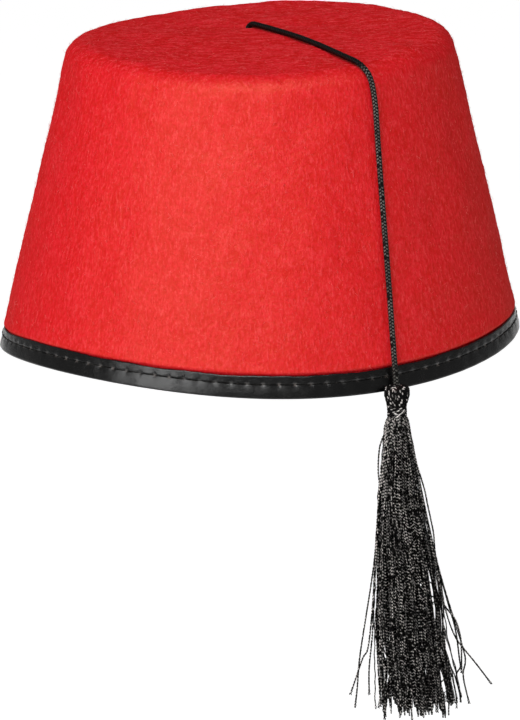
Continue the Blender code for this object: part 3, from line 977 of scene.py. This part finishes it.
def headPaths(ridge, drape, swell, rings):
    # each thread climbs the head's side, crosses its dome along a straight chord at its own place on the
    # ridge, and goes down the other side: places are on a unit disc that the head's width and depth scale
    plan = headPlan
    walk = np.linspace(0, 1, rings)[None]
    chord = np.sqrt(1 - ridge ** 2)
    side = plan["sideShare"]
    climb = np.clip(np.minimum(walk, 1 - walk) / side, 0, 1)
    swing = np.clip((walk - side) / (1 - 2 * side), 0, 1) * pi
    x = ridge + 0 * walk
    y = chord * np.cos(swing)
    dome = chord * np.sin(swing)
    neck = tasselPlan["neckTop"] - 0.0008
    height = np.where(climb < 1, neck + (plan["middle"] - neck) * climb,
                      plan["middle"] + plan["rise"] * np.abs(dome) ** plan["flatness"])
    narrow = tasselPlan["neckRadius"] / plan["halfWidth"]
    girth = np.where(climb < 1, narrow + (1 - narrow) * np.sin(climb * pi / 2), 1) * swell
    turned = np.radians(drape)
    u = x * np.cos(turned) - y * np.sin(turned)
    v = x * np.sin(turned) + y * np.cos(turned)
    middle = np.stack([tasselPlan["axis"][0] + 0.0003 * climb + 0 * dome,
                       tasselPlan["axis"][1] + plan["lean"] * np.clip(dome, 0, 1) ** 2.5,
                       height + (swell - 1) * plan["rise"] * dome], -1)
    return besideMiddle(middle, plan["halfWidth"] * girth * u, plan["halfDepth"] * girth * v)


def makeHead(finish):
    plan = headPlan
    chance = np.random.default_rng(plan["seed"])
    walk = np.linspace(0, 1, plan["rings"])[None]
    paths = []
    for layer in headLayers:
        ridge = np.linspace(*layer["ridge"], layer["threads"])[:, None]
        ridge = ridge + chance.uniform(-layer["shift"], layer["shift"], ridge.shape)
        drape = np.linspace(*layer["drape"], layer["threads"])[:, None]
        least, spread = layer["swell"]
        waver, longest = layer["waver"]
        swell = least + spread * chance.random(ridge.shape)
        swell = swell + waver * wander(chance, walk + 0 * ridge, longest, 4)
        paths.append(headPaths(ridge, drape, swell, plan["rings"]))
    paths = np.concatenate(paths)
    middle = np.array([*tasselPlan["axis"], plan["middle"]])
    radius = tasselPlan["threadRadius"] * plan["thickness"]
    points, blocks = twistedThreads(paths, unit(paths - middle), radius, plan["twist"], 5,
                                    chance.uniform(0, tau, len(paths)))
    ridge = np.linspace(*plan["coreRidge"], plan["coreThreads"])[:, None]
    core = headPaths(ridge, plan["drape"], plan["coreSwell"], plan["coreRings"])
    coreTubes = sweep(core, unit(core - middle), ovalSection(*plan["coreSection"]))
    coreBlocks = tubeBlocks(pathLengths(core) / tasselPlan["twist"], plan["coreSection"][0])
    points, blocks = joinBlocks([(points, blocks), (coreTubes, coreBlocks)])
    piece = makePiece("tassel_head", points, blocks, finish, "thread")
    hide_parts("tassel")
    return piece


wrapPlan = dict(
    radius=0.0033,
    turns=9,
    top=-0.0074,
    bottom=-0.0114,
    waver=0.00009,              # in height
    unevenness=0.00012,         # in radius
    thickness=1.05,             # of the thread, in the skirt's
    rings=560,
    seed=9,
)


def makeNeckWrap(finish):
    # a thread wound round the neck: it goes down by its own width each turn, and wavers a little
    plan = wrapPlan
    chance = np.random.default_rng(plan["seed"])
    share = np.linspace(0, 1, plan["rings"])
    turn = share * plan["turns"] * tau
    height = plan["top"] + (plan["bottom"] - plan["top"]) * share + plan["waver"] * np.sin(turn * 1.37 + 0.5)
    uneven = wander(chance, share[None] * plan["turns"], 2.3, 4)[0]
    radius = plan["radius"] + plan["unevenness"] * uneven
    outward = levelDirection(turn)
    path = outward * radius[:, None] + [*tasselPlan["axis"], 0]
    path[:, 2] = height
    threadRadius = tasselPlan["threadRadius"] * plan["thickness"]
    points, blocks = twistedThreads(path[None], outward[None], threadRadius, tasselPlan["twist"], 5, [0.0])
    piece = makePiece("neck_winding", points, blocks, finish, "thread")
    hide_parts("neck_wrap")
    return piece


def feltFinish():
    # needled felt: soft mottling, light fibres that lie up and down the wall and across the top, and a
    # weak warm gloss
    finish = surfaceFinish("red felt", (0.72, 0.0125, 0.023), 1, Specular_IOR_Level=0)
    place = finish.place()
    onTop = finish.ramp(finish.part(place, 2), 0.1108, 0.1128)
    mottle = finish.noise(place, 0.0013, 3, 0.6)
    patches = finish.noise(place, 0.009, 2)
    upright = finish.noise(finish.place((1, 1, 0.2)), 0.0009, 3, 0.6, 0.5)
    level = finish.noise(finish.place((0.2, 0.6, 1)), 0.0009, 3, 0.6, 0.5)
    streaks = onTop * level + (1 - onTop) * upright
    fibres = finish.noise(finish.place((1, 1, 0.5)), 0.0007, 2, 0.7, 1.0)
    mixed = mottle * 0.5 + streaks * 0.35 + patches * 0.15
    shade = finish.ramp((mixed - 0.5) * (onTop * 1.4 + 1) + 0.5, 0.36, 0.64)
    body = finish.mixColours(shade, (0.64, 0.0010, 0.005, 1), (0.785, 0.0085, 0.024, 1))
    light = finish.ramp(streaks * 0.5 + fibres * 0.5, 0.49, 0.66)
    share = light * (onTop * 0.45 + 0.4)
    finish.use("Base Color", finish.mixColours(share, body, (0.90, 0.080, 0.090, 1)))
    relief = finish.bump(mottle * 0.55 + streaks * 0.45 + fibres * 0.25, 0.0007, 0.65)
    finish.glaze(0.045, (1.0, 0.72, 0.4), 0.47, relief)
    return finish


def fibreFinish():
    finish = surfaceFinish("red fibre", (0.80, 0.06, 0.06), 0.8, Specular_IOR_Level=0.1)
    tone = finish.noise(finish.place(), 0.003, 2)
    finish.use("Base Color", finish.mixColours(finish.ramp(tone, 0.4, 0.65), (0.74, 0.03, 0.03, 1),
                                               (0.95, 0.22, 0.20, 1)))
    return finish


def leatherFinish():
    # imitation leather: a fine pebbled grain, duller in some places than in others; round each needle hole
    # a pale cross along the two crossing creases is a painted glint. The map runs along the rim and down from
    # the valley
    finish = surfaceFinish("black imitation leather", (0.002, 0.0018, 0.0016), 0.4, Specular_IOR_Level=0.6)
    place = finish.place()
    grain = finish.node("ShaderNodeTexVoronoi", {"feature": "SMOOTH_F1"},
                        {"Vector": place, "Scale": 1 / 0.0006, "Smoothness": 0.35})
    fine = finish.noise(place, 0.0004, 3, 0.65)
    broad = finish.noise(place, 0.006, 2)
    pitch = tau * feltPlan["rimRadius"] / bindingPlan["stitches"]
    uv = finish.surfacePlace()
    along = finish.part(uv, 0)
    aside = along - (along * (1 / pitch)).maths("ROUND") * pitch
    apart = finish.part(uv, 1)
    offCrease = (aside.maths("ABSOLUTE") - apart.maths("ABSOLUTE")).maths("ABSOLUTE")
    crease = 1 - finish.ramp(offCrease, 0.00005, 0.00028)
    nearHole = 1 - finish.ramp((aside * aside + apart * apart).maths("SQRT"), 0.00045, 0.0011)
    # painted glint: a pale cross round each needle hole, stronger in some places than in others
    paintedHoleGlint = crease * nearHole * finish.ramp(finish.noise(place, 0.012, 1), 0.35, 0.6, 0.15, 1)
    black = finish.mixColours(finish.ramp(broad * 0.5 + fine * 0.5, 0.35, 0.7),
                              (0.0006, 0.0006, 0.0006, 1), (0.002, 0.0018, 0.0016, 1))
    finish.use("Base Color", finish.mixColours(paintedHoleGlint, black, (0.11, 0.09, 0.08, 1)))
    finish.use("Roughness", finish.ramp(broad * 0.4 + fine * 0.6, 0.3, 0.7, 0.19, 0.28))
    finish.bump(fine * 1.4 - grain * 0.6, 0.00006, 0.8)
    return finish


def threadFinish(name, paintedGlint, lit, crest, width=(-1.2, -1.0), evenness=0.2, shadedHeights=(1, 2)):
    # black twisted thread with painted glints: a pale colour, with a little metallic, is painted where a ply
    # or a strand lies uppermost. The map's second number counts its turns, so the sine of them tells how far
    # it has come up, and the sine of the first one how near the ply's own middle line a place is; a width
    # below -1 lets the painted glint fill the whole ply. Chance picks the turns that get a painted glint, a
    # lit share of them, evenness is the least strength that patches leave, and above the shaded heights none
    # are painted, as painted shade
    finish = surfaceFinish(name, (0.003, 0.0026, 0.0024), 0.4, Specular_IOR_Level=0.1)
    spot = finish.surfacePlace()
    raised = (finish.part(spot, 1) * tau).maths("SINE")
    cell = finish.node("ShaderNodeVectorMath", {"operation": "FLOOR"}, {0: spot})
    draw = finish.node("ShaderNodeTexWhiteNoise", {"noise_dimensions": "3D"}, {"Vector": cell})
    bundles = finish.noise(finish.place((1, 1, 0.08)), 0.0018, 2, 0.5)
    # painted shade: above these heights, on the hat's top, the painted glints are taken off
    high = finish.ramp(finish.part(finish.place(), 2), *shadedHeights)
    strength = finish.ramp(draw, 0.95 - lit, 1.05 - lit) * finish.ramp(bundles, 0.40, 0.58, evenness, 1)
    middle = finish.ramp((finish.part(spot, 0) * tau).maths("SINE"), *width)
    # painted glint: the share of the pale glint colour painted on each place
    paintedGlintShare = finish.ramp(raised, *crest) * middle * strength * (1 - 0.93 * high)
    finish.use("Base Color", finish.mixColours(paintedGlintShare, (0.003, 0.0026, 0.0024, 1), (*paintedGlint, 1)))
    finish.use("Metallic", paintedGlintShare * 0.3)
    filaments = finish.noise(finish.surfacePlace((1, 0.2, 1)), 0.06, 2, 0.6)
    finish.use("Roughness", finish.ramp(filaments, 0.3, 0.7, 0.26, 0.5))
    finish.bump(filaments, 0.00005, 0.5)
    return finish


stagePlan = dict(
    floorHeight=-0.45,
    floorHalfSize=16,
    floorGlow=0.88,
    glowStart=(0.55, 1.15),     # the floor glows in a ring, away from the hat
    glowEnd=(3.0, 3.6),
    skyLight=0.177,
    aim=(0, 0, 0.04),
)
#   name, heading, elevation, distance, width, height, power in watts
studioLights = (
    ("key", -46, 18, 1.6, 0.62, 0.45, 5.55),
    ("high", -12, 48, 2.0, 1.3, 1.3, 29),
)


def makeLight(name, place, target, width, height, power):
    data = bpy.data.lights.new(name, "AREA")
    data.shape = "RECTANGLE"
    data.size = width
    data.size_y = height
    data.energy = power
    light = addObject(name, data)
    light.location = place
    light.rotation_euler = (Vector(target) - Vector(place)).to_track_quat("-Z", "Y").to_euler()


def makeStage():
    plan = stagePlan
    finish = surfaceFinish("pale floor", (0.5, 0.5, 0.5), 0.9, Specular_IOR_Level=0.1,
                           Emission_Strength=plan["floorGlow"])
    away = finish.node("ShaderNodeVectorMath", {"operation": "LENGTH"}, {0: finish.place()}, 1)
    glow = finish.ramp(away, *plan["glowStart"]) * (1 - finish.ramp(away, *plan["glowEnd"]))
    finish.use("Emission Color", finish.mixColours(glow, (0, 0, 0, 1), (1, 1, 1, 1)))
    half = plan["floorHalfSize"]
    corners = [(-half, -half), (half, -half), (half, half), (-half, half)]
    mesh = bpy.data.meshes.new("floor")
    mesh.from_pydata([(x, y, plan["floorHeight"]) for x, y in corners], [], [(0, 1, 2, 3)])
    mesh.materials.append(finish.material)
    floor = addObject("floor", mesh)
    for name, heading, elevation, distance, width, height, power in studioLights:
        turn, lift = radians(heading), radians(elevation)
        place = (distance * cos(lift) * sin(turn), -distance * cos(lift) * cos(turn), distance * sin(lift))
        makeLight(name, place, plan["aim"], width, height, power)
    world = bpy.data.worlds.new("studio")
    bpy.context.scene.world = world
    world.use_nodes = True
    world.node_tree.nodes["Background"].inputs["Color"].default_value = (1, 1, 1, 1)
    world.node_tree.nodes["Background"].inputs["Strength"].default_value = plan["skyLight"]
    bpy.context.scene.view_settings.view_transform = "Standard"


makeCamera()
print("camera set")
# the cord's painted glints are taken off on the hat's top, above 0.112 m, as painted shade
cordFinish = threadFinish("black braided cord", (0.17, 0.165, 0.15), 0.92, (0.2, 0.8), (0.75, 0.97), 0.55,
                          (0.1120, 0.1138))
yarnFinish = threadFinish("black twisted thread", (1.0, 0.95, 0.91), 0.62, (0.55, 0.92), evenness=0.33)
foldFinish = threadFinish("black folded thread", (1.0, 0.95, 0.91), 0.2, (0.0, 0.5))
stitchFinish = threadFinish("black stitching", (0.05, 0.045, 0.04), 0.3, (-0.25, 0.35))
cord, cordPath = makeCord(cordFinish)
knot = makeKnot(cordFinish, cordPath)
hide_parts("tassel_cord")
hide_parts("cord_knot")
head = makeHead(foldFinish)
winding = makeNeckWrap(foldFinish)
print("cord and tassel's head made")
makeSkirt(yarnFinish)
print("tassel's threads made")
outerFelt, outerNormals = makeFelt(feltFinish())
makeFuzz(fibreFinish(), outerFelt, outerNormals)
print("felt made")
makeBinding(leatherFinish())
makeStitches(stitchFinish)
print("binding made")
makeStage()
print("stage set")
